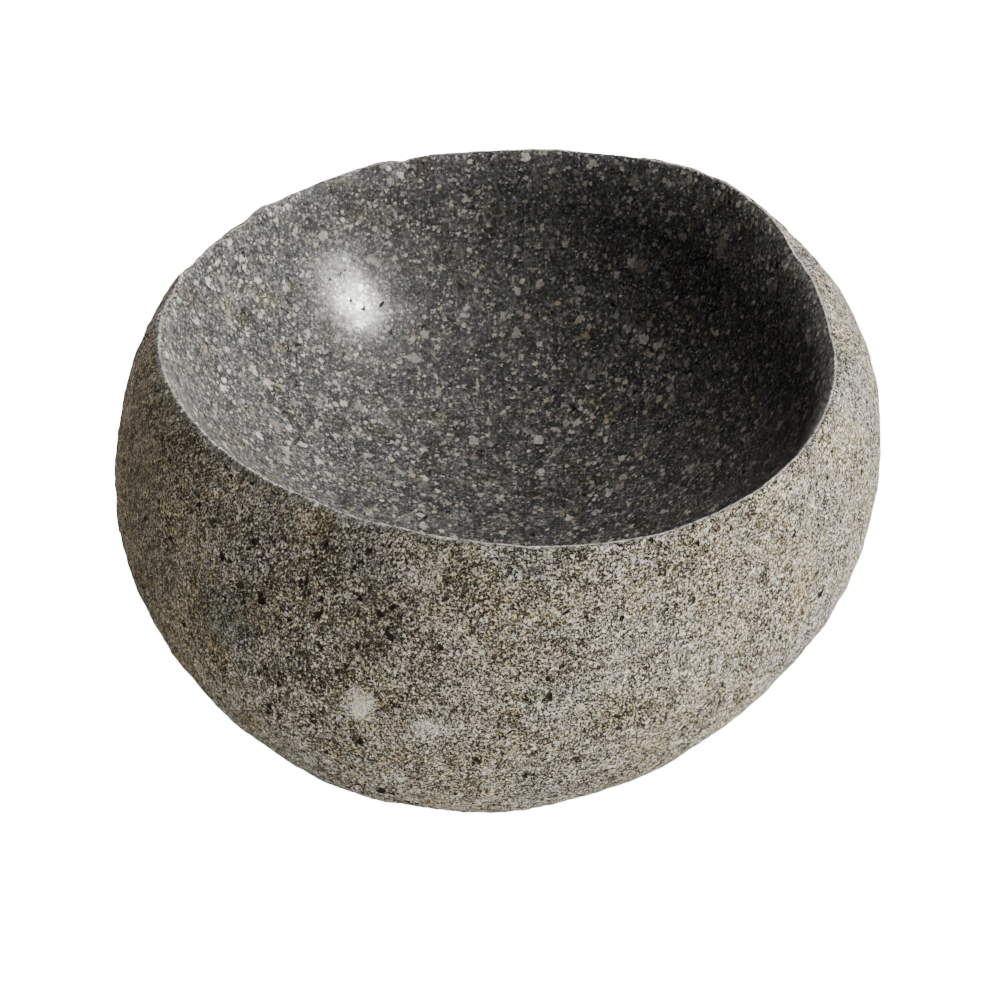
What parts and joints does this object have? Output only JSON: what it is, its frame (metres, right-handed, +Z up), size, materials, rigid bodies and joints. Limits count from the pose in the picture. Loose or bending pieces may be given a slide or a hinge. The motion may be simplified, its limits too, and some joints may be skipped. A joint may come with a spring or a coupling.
{
  "type": "stone bowl",
  "caption": "Low round bowl carved from one dark volcanic river stone: rough pitted natural outside, honed basin, narrow ground lip and flat foot.",
  "frame": {"origin": "middle of the flat foot, on the surface that the bowl stands on", "axes": "+Z up through the mouth, -Y to the front, +X to the right, where the mouth stands a little higher"},
  "size_m": [0.2162, 0.2225, 0.1168],
  "materials": {
    "river_stone": "natural rough rind outside, honed semi-gloss basin, fine ground lip"
  },
  "bodies": {
    "root": {"stone_bowl": "river_stone"}
  },
  "joints": []
}
